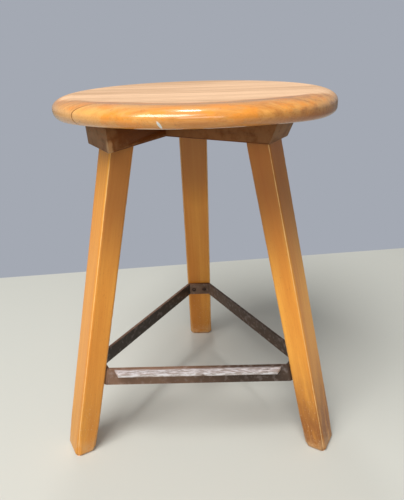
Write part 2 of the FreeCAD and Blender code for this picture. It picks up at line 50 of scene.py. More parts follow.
class Wire:
    # one output socket; arithmetic on it adds the Math or Vector Math node that does the sum
    def __init__(self, tree, socket):
        self.tree = tree
        self.socket = socket

    def sum(self, operation, *parts):
        isVector = any(isinstance(p, Wire) and p.socket.type == "VECTOR" for p in parts)
        node = self.tree.nodes.new("ShaderNodeVectorMath" if isVector else "ShaderNodeMath")
        node.operation = operation
        for part, socket in zip(parts, node.inputs):
            if isinstance(part, Wire):
                self.tree.links.new(part.socket, socket)
            elif isVector and not hasattr(part, "__len__"):
                socket.default_value = (part, part, part)
            else:
                socket.default_value = part
        return Wire(self.tree, node.outputs[0])

    def __add__(self, other):
        return self.sum("ADD", self, other)

    def __radd__(self, other):
        return self.sum("ADD", other, self)

    def __sub__(self, other):
        return self.sum("SUBTRACT", self, other)

    def __rsub__(self, other):
        return self.sum("SUBTRACT", other, self)

    def __mul__(self, other):
        return self.sum("MULTIPLY", self, other)

    def __rmul__(self, other):
        return self.sum("MULTIPLY", other, self)

    def __truediv__(self, other):
        return self.sum("DIVIDE", self, other)

    def __neg__(self):
        return self.sum("MULTIPLY", self, -1.0)

    def __abs__(self):
        return self.sum("ABSOLUTE", self)

    def __pow__(self, other):
        return self.sum("POWER", self, other)

    def above(self, limit):
        return self.sum("GREATER_THAN", self, limit)

    def below(self, limit):
        return self.sum("LESS_THAN", self, limit)

    def atLeast(self, other):
        return self.sum("MAXIMUM", self, other)

    def atMost(self, other):
        return self.sum("MINIMUM", self, other)

    def sine(self):
        return self.sum("SINE", self)

    def cosine(self):
        return self.sum("COSINE", self)

    def rounded(self):
        return self.sum("ROUND", self)

    def within(self, low, high):
        return self.atLeast(low).atMost(high)

    def spread(self, index):
        # another output of the node behind this socket, such as a dot product's value
        return Wire(self.tree, self.socket.node.outputs[index])

    def pick(self, index):
        # one coordinate of a vector
        node = self.tree.nodes.new("ShaderNodeSeparateXYZ")
        self.tree.links.new(self.socket, node.inputs[0])
        return Wire(self.tree, node.outputs[index])


class Bench:
    # adds any other node: its type, its settings, then values or links for its sockets
    def __init__(self, tree):
        self.tree = tree

    def add(self, kind, settings=None, sockets=None, output=0):
        node = self.tree.nodes.new(kind)
        for name, value in (settings or {}).items():
            setattr(node, name, value)
        for name, value in (sockets or {}).items():
            if isinstance(name, int):
                socket = node.inputs[name]
            else:
                socket = next(s for s in node.inputs if name in (s.name, s.identifier) and s.enabled)
            if isinstance(value, list):
                for wire in value:
                    self.tree.links.new(wire.socket, socket)
            elif isinstance(value, Wire):
                self.tree.links.new(value.socket, socket)
            else:
                socket.default_value = value
        if not node.outputs:
            return node
        if isinstance(output, int):
            return Wire(self.tree, node.outputs[output])
        return Wire(self.tree, next(s for s in node.outputs if s.name == output and s.enabled))

    def vector(self, x, y, z):
        return self.add("ShaderNodeCombineXYZ", {}, {"X": x, "Y": y, "Z": z})

    def ramp(self, value, low, high, fromValue=0.0, toValue=1.0):
        # an eased step from one value to another
        return self.add("ShaderNodeMapRange", {"interpolation_type": "SMOOTHSTEP"},
                        {"Value": value, "From Min": low, "From Max": high,
                         "To Min": fromValue, "To Max": toValue})

    def noise(self, place, scale, detail=2.0, roughness=0.5, distortion=0.0):
        return self.add("ShaderNodeTexNoise", {"noise_dimensions": "3D"},
                        {"Vector": place, "Scale": scale, "Detail": detail,
                         "Roughness": roughness, "Distortion": distortion})

    def blend(self, share, first, second, how="MIX"):
        return self.add("ShaderNodeMix", {"data_type": "RGBA", "blend_type": how},
                        {"Factor": share, "A": first, "B": second}, "Result")


def paint(red, green, blue):
    # a colour as it shows on a screen, turned to light values
    def light(value):
        value = value / 255
        return value / 12.92 if value <= 0.04045 else ((value + 0.055) / 1.055) ** 2.4
    return (light(red), light(green), light(blue), 1.0)


def paints(tones):
    return {name: paint(*tone) for name, tone in tones.items()}


def newMaterial(name):
    material = bpy.data.materials.new(name)
    material.use_nodes = True
    tree = material.node_tree
    tree.nodes.clear()
    return material, Bench(tree)


def finishMaterial(bench, colour, roughness, height=None, bumpSize=0.001, metallic=None, coat=None,
                   constants=None):
    # one Principled surface; height in metres drives the bump
    sockets = {"Base Color": colour, "Roughness": roughness}
    if metallic is not None:
        sockets["Metallic"] = metallic
    if coat is not None:
        sockets["Coat Weight"] = coat
    if height is not None:
        sockets["Normal"] = bench.add("ShaderNodeBump", {}, {"Strength": 1.0, "Distance": bumpSize,
                                                             "Height": height})
    sockets.update(constants or {})
    surface = bench.add("ShaderNodeBsdfPrincipled", {}, sockets)
    bench.add("ShaderNodeOutputMaterial", {}, {"Surface": surface})


def grow(name, sizes, build, material):
    # makes a plain mesh object from a Geometry Nodes tree with named inputs
    tree = bpy.data.node_groups.get(build.__name__)
    if tree is None:
        tree = bpy.data.node_groups.new(build.__name__, "GeometryNodeTree")
        tree.interface.new_socket("Geometry", in_out="OUTPUT", socket_type="NodeSocketGeometry")
        for label, value in sizes.items():
            kind = "NodeSocketInt" if isinstance(value, int) else "NodeSocketFloat"
            tree.interface.new_socket(label, in_out="INPUT", socket_type=kind)
        tree.interface.new_socket("finish", in_out="INPUT", socket_type="NodeSocketMaterial")
        bench = Bench(tree)
        entry = tree.nodes.new("NodeGroupInput")
        given = {s.name: Wire(tree, s) for s in entry.outputs if s.name}
        shape = build(bench, given)
        shape = bench.add("GeometryNodeRealizeInstances", {}, {"Geometry": shape})
        shape = bench.add("GeometryNodeSetMaterial", {}, {"Geometry": shape,
                                                          "Material": given["finish"]})
        bench.add("NodeGroupOutput", {}, {"Geometry": shape})
    holder = bpy.data.objects.new(name, bpy.data.meshes.new(name))
    bpy.context.scene.collection.objects.link(holder)
    modifier = holder.modifiers.new("grow", "NODES")
    modifier.node_group = tree
    for item in tree.interface.items_tree:
        if item.in_out == "INPUT":
            modifier[item.identifier] = material if item.name == "finish" else sizes[item.name]
    return settle(holder)


def unitSheet(bench, columns, rows):
    # a flat grid one metre square, rolled up afterwards by moving its points
    return bench.add("GeometryNodeMeshGrid", {}, {"Size X": 1.0, "Size Y": 1.0,
                                                  "Vertices X": columns, "Vertices Y": rows})


def noted(bench, shape, name, value, kind="FLOAT"):
    # keeps a value on each point, for the finish to read
    return bench.add("GeometryNodeStoreNamedAttribute", {"data_type": kind, "domain": "POINT"},
                     {"Geometry": shape, "Name": name, "Value": value})


def rolled(bench, sheet, places):
    # moves the sheet's points and welds the seam and the ends
    shape = bench.add("GeometryNodeSetPosition", {}, {"Geometry": sheet, "Position": places})
    return bench.add("GeometryNodeMergeByDistance", {}, {"Geometry": shape, "Distance": weld})


def settle(piece, sharpAngle=35):
    # turns what the modifiers make into the object's own mesh
    graph = bpy.context.evaluated_depsgraph_get()
    mesh = bpy.data.meshes.new_from_object(piece.evaluated_get(graph))
    mesh.name = piece.name
    piece.modifiers.clear()
    piece.data = mesh
    mesh.shade_smooth()
    mesh.set_sharp_from_angle(angle=math.radians(sharpAngle))
    return piece


def fit(piece, node):
    # the whole stool is one rigid body
    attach(piece, "root")
    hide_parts(node)


# ---- camera: where the photograph was taken from

view = {
    "place": (0.01791, -0.61031, 0.52265),
    "focal": 34.29,        # mm
    "sensor": 36.0,        # mm along the picture's long side
    "down": 23.53,         # degrees below level
    "turn": -0.80,         # degrees from +Y towards +X
    "roll": -1.78,
}


def makeCamera():
    down, turn, roll = (math.radians(view[k]) for k in ("down", "turn", "roll"))
    ahead = Vector((math.sin(turn) * math.cos(down), math.cos(turn) * math.cos(down), -math.sin(down)))
    level = Vector((math.cos(turn), -math.sin(turn), 0.0))
    upright = level.cross(ahead)
    across = level * math.cos(roll) + upright * math.sin(roll)
    upwards = upright * math.cos(roll) - level * math.sin(roll)
    data = bpy.data.cameras.new("camera")
    data.lens = view["focal"]
    data.sensor_width = view["sensor"]
    data.clip_start = 0.01
    camera = bpy.data.objects.new("camera", data)
    turned = Matrix((across, upwards, -ahead)).transposed().to_4x4()
    camera.matrix_world = Matrix.Translation(view["place"]) @ turned
    bpy.context.scene.collection.objects.link(camera)
    bpy.context.scene.camera = camera


makeCamera()
print("camera placed")


# ---- floor, backdrop and lamps

room = {
    "floorColour": (203, 204, 197),
    "backColour": (164, 169, 179),
    "floorHalf": 6.0,
    "backStart": (-5.0, -0.073),    # the foot of the backdrop, a plain upright sheet
    "backEnd": (5.0, 1.084),
    "backHeight": 5.0,
    "ambient": 0.17,
    "ambientColour": (0.96, 0.98, 1.0),
    "backInGloss": 0.5,             # share of the backdrop's tone that gloss shows
    "lampAim": (0, 0, 0.25),        # the point that every lamp faces
}

lamps = {
    # name: azimuth and height angle in degrees, distance, width and depth in metres, watts, colour
    "key": (236, 60, 3.4, 1.8, 1.8, 124, (1.0, 0.985, 0.96)),
    "top": (95.5, 67.2, 2.1, 0.2, 0.2, 5.5, (1.0, 1.0, 1.0)),
    "fill": (274, 26, 2.6, 1.4, 1.2, 17, (1.0, 0.98, 0.95)),
}


def flatSheet(name, corners, material):
    # part of the stage, not of the stool
    mesh = bpy.data.meshes.new(name)
    mesh.from_pydata(corners, [], [tuple(range(len(corners)))])
    mesh.materials.append(material)
    sheet = bpy.data.objects.new(name, mesh)
    bpy.context.scene.collection.objects.link(sheet)
    return sheet


def makeRoom():
    half = room["floorHalf"]
    matt, bench = newMaterial("pale floor")
    finishMaterial(bench, paint(*room["floorColour"]), 0.85)
    flatSheet("floor", [(-half, -half, 0), (half, -half, 0), (half, half, 0), (-half, half, 0)], matt)

    plain, bench = newMaterial("pale backdrop")
    glow = bench.add("ShaderNodeEmission", {}, {"Color": paint(*room["backColour"]), "Strength": 1.0})
    clear = bench.add("ShaderNodeBsdfTransparent")
    behind = bench.add("ShaderNodeNewGeometry", {}, {}, "Backfacing")   # open from behind
    both = bench.add("ShaderNodeMixShader", {}, {0: behind, 1: glow, 2: clear})
    bench.add("ShaderNodeOutputMaterial", {}, {"Surface": both})
    (x0, y0), (x1, y1), top = room["backStart"], room["backEnd"], room["backHeight"]
    back = flatSheet("backdrop", [(x0, y0, 0), (x1, y1, 0), (x1, y1, top), (x0, y0, top)], plain)
    back.visible_shadow = False
    back.visible_diffuse = False
    back.visible_glossy = False

    world = bpy.data.worlds.new("studio")
    bpy.context.scene.world = world
    world.use_nodes = True
    world.node_tree.nodes.clear()
    bench = Bench(world.node_tree)
    seen = bench.add("ShaderNodeLightPath", {}, {}, "Is Camera Ray")
    for output in ("Is Glossy Ray", "Is Transmission Ray"):
        seen = seen.atLeast(bench.add("ShaderNodeLightPath", {}, {}, output) * room["backInGloss"])
    ambient = bench.add("ShaderNodeBackground", {}, {"Color": (*room["ambientColour"], 1.0),
                                                     "Strength": room["ambient"]})
    plainBack = bench.add("ShaderNodeBackground", {}, {"Color": paint(*room["backColour"]),
                                                       "Strength": 1.0})
    both = bench.add("ShaderNodeMixShader", {}, {0: seen, 1: ambient, 2: plainBack})
    bench.add("ShaderNodeOutputWorld", {}, {"Surface": both})

    for name, (azimuth, height, distance, width, depth, watts, colour) in lamps.items():
        data = bpy.data.lights.new(name, "AREA")
        data.shape = "RECTANGLE"
        data.size, data.size_y = width, depth
        data.energy = watts
        data.color = colour
        lamp = bpy.data.objects.new(name, data)
        a, h = math.radians(azimuth), math.radians(height)
        away = Vector((math.cos(a) * math.cos(h), math.sin(a) * math.cos(h), math.sin(h)))
        lamp.location = away * distance + Vector(room["lampAim"])
        lamp.rotation_mode = "QUATERNION"
        lamp.rotation_quaternion = away.to_track_quat("Z", "Y")
        bpy.context.scene.collection.objects.link(lamp)


makeRoom()
print("room and lamps ready")


# ---- where things point, in degrees from +X towards +Y

azimuths = {
    "legBack": 90, "legFrontLeft": 210, "legFrontRight": 330,
    "crossBearer": 60, "stemBearer": 330,
}


# ---- finishes

def woodFigure(bench, grain):
    # grain holds metres across the board, through it and along it
    broad = bench.noise(grain * (22.0, 22.0, 2.4), 1.0, 2.0)
    streaks = bench.noise(grain * (230.0, 90.0, 5.0), 1.0, 3.0, 0.55, 0.3)
    fibres = bench.noise(grain * (1600.0, 700.0, 30.0), 1.0, 2.0, 0.6)
    flecks = bench.noise(grain * (2100.0, 900.0, 260.0), 1.0, 1.0)
    return broad, streaks, fibres, bench.ramp(flecks, 0.64, 0.76)


def spot(bench, place, centre, size, soft=0.4):
    # 1 inside an ellipsoid, fading to 0 outside it
    away = (place - centre) / size
    return bench.ramp(away.sum("LENGTH", away).spread(1), 1.0 - soft, 1.0 + soft, 1.0, 0.0)


def towards(facing, azimuth):
    # how squarely a face looks towards a direction, 1 when it looks straight that way
    angle = math.radians(azimuth)
    return facing.pick(0) * math.cos(angle) + facing.pick(1) * math.sin(angle)


legTones = {
    "dark": (222, 138, 46), "light": (252, 182, 76), "fleck": (166, 94, 34), "shade": (138, 78, 34),
    "rubbed": (255, 216, 150), "dust": (214, 172, 122), "grime": (132, 74, 34), "scuff": (222, 186, 140),
}


def makeLegFinish():
    inks = paints(legTones)
    material, bench = newMaterial("lacquered beech")
    place = bench.add("ShaderNodeTexCoord", {}, {}, "Object")
    grain = bench.add("ShaderNodeAttribute", {"attribute_name": "grain"}, {}, "Vector")
    wear = bench.add("ShaderNodeAttribute", {"attribute_name": "wear"}, {}, "Fac")
    grime = bench.add("ShaderNodeAttribute", {"attribute_name": "grime"}, {}, "Fac")
    broad, streaks, fibres, flecks = woodFigure(bench, grain)
    tone = broad * 0.55 + streaks * 0.3 + fibres * 0.15
    colour = bench.blend(bench.ramp(tone, 0.30, 0.70), inks["dark"], inks["light"])
    # painted shade: browner towards the top, where the seat's shadow falls, and on the back leg, but not
    # on the left leg's outer face, which faces the key lamp
    high = bench.ramp(grain.pick(2) + broad * 0.1, 0.27, 0.42)
    facing = bench.add("ShaderNodeNewGeometry", {}, {}, "Normal")
    spared = bench.ramp(towards(facing, azimuths["legFrontLeft"]), 0.4, 0.9) * place.pick(0).below(-0.02)
    behind = bench.ramp(place.pick(1), 0.0, 0.06) * 0.34
    colour = bench.blend((high * (0.72 - spared * 0.72)).atLeast(behind), colour, inks["shade"])
    colour = bench.blend(flecks * 0.3, colour, inks["fleck"])
    patch = bench.noise(place, 75.0, 4.0, 0.65)
    low = bench.ramp(grain.pick(2), 0.03, 0.17, 1.0, 0.0)
    stain = bench.ramp(bench.noise(grain * (120.0, 120.0, 20.0), 1.0, 4.0, 0.65), 0.22, 0.60, 0.45, 1.0)
    # darker towards the foot, most on the front right leg
    colour = bench.blend(low * grime * stain * 0.85, colour, inks["grime"])
    specks = bench.ramp(bench.noise(place, 420.0, 3.0, 0.6), 0.62, 0.7) * low
    colour = bench.blend(specks * 0.6, colour, inks["scuff"])
    # rubbed arrises: partly real wear on the lacquer, partly a painted highlight along each arris
    bare = bench.ramp(wear * 0.9 + patch * 0.5, 0.84, 1.06)
    colour = bench.blend(bare * 0.55, colour, inks["rubbed"])
    foot = bench.ramp(grain.pick(2), 0.004, 0.03, 1.0, 0.0)      # dusty and knocked near the floor
    colour = bench.blend(foot * bench.ramp(patch, 0.35, 0.6) * 0.55, colour, inks["dust"])
    rough = 0.36 + bare * 0.12 + low * 0.14 + fibres * 0.08
    height = fibres * 0.3 + streaks * 0.25 - flecks * 0.4 - specks * 0.5
    finishMaterial(bench, colour, rough, height, 0.0002, coat=(1.0 - bare * 0.5) * 0.22,
                   constants={"Coat Roughness": 0.2, "Specular IOR Level": 0.3})
    return material


# painted shade: the bearers' beech is a much darker brown than the legs, standing in for the shade under
# the seat
shadedBearerTones = {
    "dark": (90, 51, 25), "light": (118, 70, 32), "fleck": (66, 38, 20), "rubbed": (190, 148, 104),
    "end": (104, 72, 40),
}

bearer = {
    "rubbedCorner": (-0.0848, -0.1068, 0.4215),     # a corner knocked pale, at the front left
    "cornerSize": (0.005, 0.005, 0.009),
}


def makeBearerFinish(name, turn):
    inks = paints(shadedBearerTones)
    material, bench = newMaterial(name)
    place = bench.add("ShaderNodeTexCoord", {}, {}, "Object")
    wear = bench.add("ShaderNodeAttribute", {"attribute_name": "wear"}, {}, "Fac")
    facing = bench.add("ShaderNodeNewGeometry", {}, {}, "Normal")
    cosine, sine = math.cos(math.radians(turn)), math.sin(math.radians(turn))
    along = bench.vector(place.pick(0) * cosine + place.pick(1) * sine,
                         place.pick(1) * cosine - place.pick(0) * sine, place.pick(2))
    grain = bench.vector(along.pick(1), along.pick(2), along.pick(0))
    broad, streaks, fibres, flecks = woodFigure(bench, grain)
    tone = broad * 0.4 + streaks * 0.42 + fibres * 0.18
    colour = bench.blend(bench.ramp(tone, 0.34, 0.64), inks["dark"], inks["light"])
    colour = bench.blend(flecks * 0.4, colour, inks["fleck"])
    # sawn ends: greyer, with the rings showing as arcs
    ends = bench.ramp(abs(towards(facing, turn)), 0.6, 0.8)
    across = bench.vector(along.pick(1), along.pick(2), 0.0)
    rings = bench.noise(across * (60.0, 260.0, 1.0), 1.0, 3.0, 0.6)
    endTone = bench.blend(bench.ramp(rings, 0.4, 0.6), inks["light"], inks["end"])
    colour = bench.blend(ends * 0.8, colour, endTone)
    patch = bench.noise(place, 90.0, 3.0, 0.6)
    rub = bench.ramp(wear * 0.6 + patch * 0.6, 0.72, 0.95)
    corner = spot(bench, place + (patch - 0.5) * 0.006, bearer["rubbedCorner"], bearer["cornerSize"])
    colour = bench.blend((rub * 0.25).atLeast(corner * 0.9), colour, inks["rubbed"])
    height = fibres * 0.4 + streaks * 0.35 - flecks * 0.5
    finishMaterial(bench, colour, 0.5 + fibres * 0.15, height, 0.00025,
                   constants={"Specular IOR Level": 0.12})
    return material


# the seat's sizes, for its finish and its boards: worn ring, open joint and chip have fixed places
seat = {
    "radius": 0.170, "shiftX": 0.0065, "top": 0.470, "thickness": 0.024,
    "topRound": 0.012, "topWide": 0.024, "lowRound": 0.0105, "dish": 0.0009,
    "around": 420, "arcRows": 16, "topRows": 54, "underRows": 6,
    "boards": 7, "boardWidth": 0.047, "unevenness": 0.0005, "wornRadius": 0.163,
    "lift": 0.0032,                 # how far use has rounded the underside away at the front and back
    "squareRight": 0.5,             # how much less the lower edge is rounded at the right
    "crackX": -0.1164, "crackY": -0.1175, "crackLength": 0.030, "crackWidth": 0.0012,
    "chipX": -0.0238, "chipY": -0.1683, "chipZ": 0.4542, "chipDepth": 0.0011,
}

seatTones = {
    "dark": (202, 128, 52), "light": (238, 172, 88), "amber": (236, 148, 48), "stain": (140, 88, 48),
    "pale": (226, 180, 120), "under": (150, 88, 40),
    "bareDark": (188, 148, 110), "bareLight": (240, 200, 162), "bareStreak": (166, 126, 92),
    "chip": (226, 230, 228), "crack": (96, 58, 30),
}


def makeSeatFinish():
    inks = paints(seatTones)
    material, bench = newMaterial("worn seat beech")
    place = bench.add("ShaderNodeTexCoord", {}, {}, "Object")
    facing = bench.add("ShaderNodeNewGeometry", {}, {}, "Normal")
    board = bench.add("ShaderNodeAttribute", {"attribute_name": "board"}, {}, "Fac")
    shifted = bench.vector(place.pick(0) + board * 0.37, place.pick(1) + board * 0.11, place.pick(2))
    grain = bench.vector(shifted.pick(1), shifted.pick(2), shifted.pick(0))
    broad, streaks, fibres, flecks = woodFigure(bench, grain)
    tone = broad * 0.4 + streaks * 0.42 + fibres * 0.18

    # lacquered rim: amber patches, pale and stained end grain
    lacquer = bench.blend(bench.ramp(tone, 0.34, 0.64), inks["dark"], inks["light"])
    patches = bench.noise(place * (34.0, 60.0, 60.0), 1.0, 4.0, 0.6)
    lacquer = bench.blend(bench.ramp(patches, 0.50, 0.62) * 0.8, lacquer, inks["amber"])
    end = bench.ramp(abs(facing.pick(0)), 0.4, 0.8)
    pores = bench.noise(shifted * (50.0, 300.0, 300.0), 1.0, 3.0, 0.65)
    lacquer = bench.blend(end * 0.6, lacquer, inks["pale"])
    right = bench.ramp(place.pick(0), 0.02, 0.13)
    blotches = bench.ramp(bench.noise(place * (90.0, 90.0, 150.0), 1.0, 5.0, 0.7), 0.44, 0.66)
    shadedLowRim = bench.ramp(place.pick(2), 0.450, 0.464, 1.0, 0.0)
    stained = right * (blotches * 0.4 + bench.ramp(pores, 0.44, 0.66) * end * 0.25 + 0.05)
    spots = bench.ramp(bench.noise(place, 105.0, 4.0, 0.65), 0.60, 0.72) * 0.45
    lacquer = bench.blend(stained.atLeast(spots).within(0.0, 0.9), lacquer, inks["stain"])
    # painted shade: the lower rim darker, most at the right
    lacquer = bench.blend(shadedLowRim * (0.3 + right * 0.65), lacquer, inks["under"])

    # worn top: pale, streaked along the boards
    bare = bench.blend(bench.ramp(tone, 0.32, 0.66), inks["bareDark"], inks["bareLight"])
    dashes = bench.ramp(bench.noise(grain * (300.0, 200.0, 24.0), 1.0, 4.0, 0.7), 0.54, 0.68)
    bare = bench.blend(dashes * 0.4 + flecks * 0.2, bare, inks["bareStreak"])
    out = ((place.pick(0) - seat["shiftX"]) ** 2.0 + place.pick(1) ** 2.0) ** 0.5
    ragged = bench.noise(place * (40.0, 90.0, 60.0), 1.0, 4.0, 0.6) - 0.5
    front = bench.ramp(place.pick(1), -0.05, -0.125) * 0.034
    out = out + front - place.pick(0) * 0.015 + ragged * 0.014
    worn = bench.ramp(out, seat["wornRadius"] - 0.006, seat["wornRadius"] + 0.006, 1.0, 0.0)
    worn = worn * facing.pick(2).above(0.5)
    colour = bench.blend(worn, lacquer, bare)
    slant = place.pick(0) + (place.pick(2) - seat["chipZ"]) * 0.5
    struck = spot(bench, bench.vector(slant, place.pick(1), place.pick(2)),
                  (seat["chipX"], seat["chipY"], seat["chipZ"]), (0.0015, 0.02, 0.0036), 0.3)
    colour = bench.blend(struck, colour, inks["chip"])
    split = bench.ramp(abs(place.pick(1) - seat["crackY"]), 0.0003, 0.0012, 1.0, 0.0)
    crackEnd = seat["crackX"] + seat["crackLength"]
    split = split * bench.ramp(place.pick(0), seat["crackX"], crackEnd, 1.0, 0.0)
    colour = bench.blend(split * 0.8, colour, inks["crack"])
    rough = 0.24 + worn * 0.32 + fibres * 0.08
    height = (fibres * 0.4 + streaks * 0.35) * (worn * 0.7 + 0.3) - flecks * 0.3 - dashes * worn * 0.6
    finishMaterial(bench, colour, rough, height, 0.0002, coat=(1.0 - worn) * 0.65,
                   constants={"Coat Roughness": 0.1, "Specular IOR Level": 0.4})
    return material


steelTones = {
    "dark": (114, 85, 67), "light": (134, 104, 85), "shade": (36, 26, 19),
    "metal": (240, 238, 242), "dull": (182, 170, 166),
}


def makeSteelFinish():
    inks = paints(steelTones)
    material, bench = newMaterial("brown painted steel")
    place = bench.add("ShaderNodeTexCoord", {}, {}, "Object")
    facing = bench.add("ShaderNodeNewGeometry", {}, {}, "Normal")
    wear = bench.add("ShaderNodeAttribute", {"attribute_name": "wear"}, {}, "Fac")
    mottle = bench.noise(place, 38.0, 4.0, 0.6)
    fine = bench.noise(place, 900.0, 3.0, 0.6)
    coatColour = bench.blend(bench.ramp(mottle, 0.3, 0.7), inks["dark"], inks["light"])
    # painted shade: the paint darker to the right, and on the inner face of the back left bar, which
    # faces away from the key lamp
    right = bench.ramp(place.pick(0), 0.08, -0.06, 1.0, 0.0)
    inner = bench.ramp(towards(facing, azimuths["legFrontRight"]), 0.7, 0.9)
    inner = inner * bench.ramp(place.pick(1), -0.08, -0.04) * bench.ramp(place.pick(0), 0.0, -0.01)
    shade = (right * 0.8).atLeast(inner * 0.95)
    coatColour = bench.blend(shade, coatColour, inks["shade"])
    front = bench.ramp(place.pick(1), -0.092, -0.097, 0.0, 1.0)      # the tread, where shoes rest
    top = bench.ramp(facing.pick(2), 0.6, 0.9).atLeast(wear * 0.9)
    scratch = bench.noise(place * (90.0, 420.0, 420.0), 1.0, 3.0, 0.65)
    chips = bench.ramp(scratch * 0.5 + bench.noise(place, 60.0, 3.0) * 0.5, 0.30, 0.40)
    bare = top * front * chips * bench.ramp(place.pick(2), 0.118, 0.121)
    # bare steel on the tread, where shoes have worn the paint off, painted near white: partly the
    # metal's own colour, partly a painted reflection of the light from above
    metal = bench.blend(bench.ramp(scratch, 0.4, 0.62), inks["dull"], inks["metal"])
    colour = bench.blend(bare, coatColour, metal)
    rubbed = wear * bench.ramp(bench.noise(place, 150.0, 3.0), 0.5, 0.7) * (1.0 - bare)
    colour = bench.blend(rubbed * 0.2, colour, inks["dull"])
    rough = 0.42 - bare * 0.12 + fine * 0.12
    height = fine * 0.4 + mottle * 0.6 - bare * 0.6
    finishMaterial(bench, colour, rough, height, 0.00025, metallic=bare * 0.45,
                   constants={"Specular IOR Level": 0.35})
    return material


def makeScrewFinish(name, first, second):
    material, bench = newMaterial(name)
    place = bench.add("ShaderNodeTexCoord", {}, {}, "Object")
    mottle = bench.noise(place, 420.0, 3.0, 0.6)
    fine = bench.noise(place, 2600.0, 2.0)
    colour = bench.blend(bench.ramp(mottle, 0.35, 0.65), paint(*first), paint(*second))
    finishMaterial(bench, colour, 0.35 + mottle * 0.3, fine, 0.00008, metallic=0.6 + mottle * 0.3)
    return material


finishes = {
    "leg": makeLegFinish(),
    "cross": makeBearerFinish("cross bearer beech", azimuths["crossBearer"]),
    "stem": makeBearerFinish("stem bearer beech", azimuths["stemBearer"]),
    "seat": makeSeatFinish(),
    "dowel": makeBearerFinish("dowel beech", azimuths["stemBearer"]),
    "steel": makeSteelFinish(),
    "brownScrew": makeScrewFinish("brown screws", (62, 46, 38), (98, 78, 66)),
    "plainScrew": makeScrewFinish("plain screws", (120, 116, 110), (176, 172, 166)),
}
print("finishes mixed")


# ---- legs

leg = {
    "footRadius": 0.195, "splay": math.radians(12.9), "thickness": 0.0295,
    "footWidth": 0.040, "shoulderWidth": 0.041, "shoulder": 0.4175,
    "arris": 0.0032, "bevel": 0.0012, "footRound": 0.0055,
    "tenonRadius": 0.011, "tenonLength": 0.022, "tenonChamfer": 0.0015,
    "wearDepth": 0.0007, "footWear": 0.0024, "waveDepth": 0.00025,
    "around": 144, "rows": 190,
}


def taperedLeg(bench, size):
    rows = size["rows"]
    sheet = unitSheet(bench, size["around"] + 1, rows)
    at = bench.add("GeometryNodeInputPosition")
    turn = (at.pick(0) + 0.5) * (2 * math.pi)
    row = ((at.pick(1) + 0.5) * (rows - 1.0)).rounded()
    last = rows - 5.0                       # the row at the shoulder
    share = ((row - 2.0) / (last - 2.0)).within(0.0, 1.0)
    started = row.above(1.5)
    height = (size["bevel"] + share ** 1.5 * (size["shoulder"] - size["bevel"])) * started
    below = (1.0 - (height + (1.0 - started) * size["bevel"] * 0.4) / size["footRound"]).atLeast(0.0)
    inset = size["footRound"] * (1.0 - (1.0 - below * below) ** 0.5) * 0.8

    # rounded rectangle about the leg's centre line
    width = size["footWidth"] + (size["shoulderWidth"] - size["footWidth"]) * height / size["shoulder"]
    halfThick = size["thickness"] / 2.0 - inset
    halfWide = width / 2.0 - inset
    radius = size["arris"] + bench.ramp(height, 0.0, 0.05, 0.0025, 0.0) - inset * 0.3
    ca, sa = turn.cosine(), turn.sine()
    reach = abs(ca).atLeast(abs(sa))
    boxA, boxB = ca / reach * halfThick, sa / reach * halfWide
    coreA = boxA.within(radius - halfThick, halfThick - radius)
    coreB = boxB.within(radius - halfWide, halfWide - radius)
    outA, outB = boxA - coreA, boxB - coreB
    far = (outA * outA + outB * outB) ** 0.5
    outA, outB = outA / far, outB / far
    corner = 1.0 - abs(abs(outA) - abs(outB))

    # knocks and rubbing on the arrises, a little unevenness on the faces
    seed = size["seed"] * 3.7
    here = bench.vector(outA * 0.01 + seed, outB * 0.01 + seed, height)
    knocks = bench.ramp(bench.noise(here, 95.0, 3.0, 0.6), 0.5, 0.72)
    waves = bench.noise(here, 22.0, 2.0)
    lowEnd = bench.ramp(height, 0.002, 0.05, 1.0, 0.0)
    depth = corner * (size["wearDepth"] * (0.25 + knocks * 0.8) + size["footWear"] * lowEnd)
    depth = (depth + waves * size["waveDepth"]) * started
    body = row.below(last + 0.5)
    isOpen = row.above(0.5)
    partA = (coreA + outA * (radius - depth)) * isOpen
    partB = (coreB + outB * (radius - depth)) * isOpen

    # tenon along the leg, its root cut level with the shoulder
    closed = row.below(rows - 1.5)
    tenonR = size["tenonRadius"] * closed - size["tenonChamfer"] * row.above(last + 2.5) * closed
    slope = size["splay"].sine() / size["splay"].cosine()
    up = (size["tenonLength"] - size["tenonChamfer"] * row.below(last + 2.5)) * row.above(last + 1.5)
    up = up - tenonR * ca * slope * row.below(last + 1.5)
    tenonA = tenonR * ca * size["splay"].cosine() - up * size["splay"].sine()
    tenonZ = size["shoulder"] + up * size["splay"].cosine() + tenonR * ca * size["splay"].sine()
    tenonB = tenonR * sa

    outward = size["footRadius"] - height * slope + partA
    tenonOut = size["footRadius"] - size["shoulder"] * slope + tenonA
    outward = outward * body + tenonOut * (1.0 - body)
    sideways = partB * body + tenonB * (1.0 - body)
    level = height * body + tenonZ * (1.0 - body)
    cosine, sine = size["azimuth"].cosine(), size["azimuth"].sine()
    where = bench.vector(outward * cosine - sideways * sine, outward * sine + sideways * cosine, level)

    grain = bench.vector(sideways + seed, outward + height * slope, level / size["splay"].cosine())
    shape = noted(bench, sheet, "grain", grain, "FLOAT_VECTOR")
    shape = noted(bench, shape, "wear", corner * body * started)
    shape = noted(bench, shape, "grime", size["grime"])
    return rolled(bench, shape, where)


legNodes = {
    # piece: node, seed, share of darkening near the foot
    "legBack": ("leg_back", 1, 0.15),
    "legFrontLeft": ("leg_front_left", 2, 0.3),
    "legFrontRight": ("leg_front_right", 3, 1.0),
}


def makeLegs():
    for name, (node, seed, grime) in legNodes.items():
        sizes = dict(leg, azimuth=math.radians(azimuths[name]), seed=float(seed), grime=grime)
        fit(grow(name, sizes, taperedLeg, finishes["leg"]), node)


makeLegs()
print("legs grown")


# ---- seat: glued boards, sawn from one dished blank with a bullnose rim

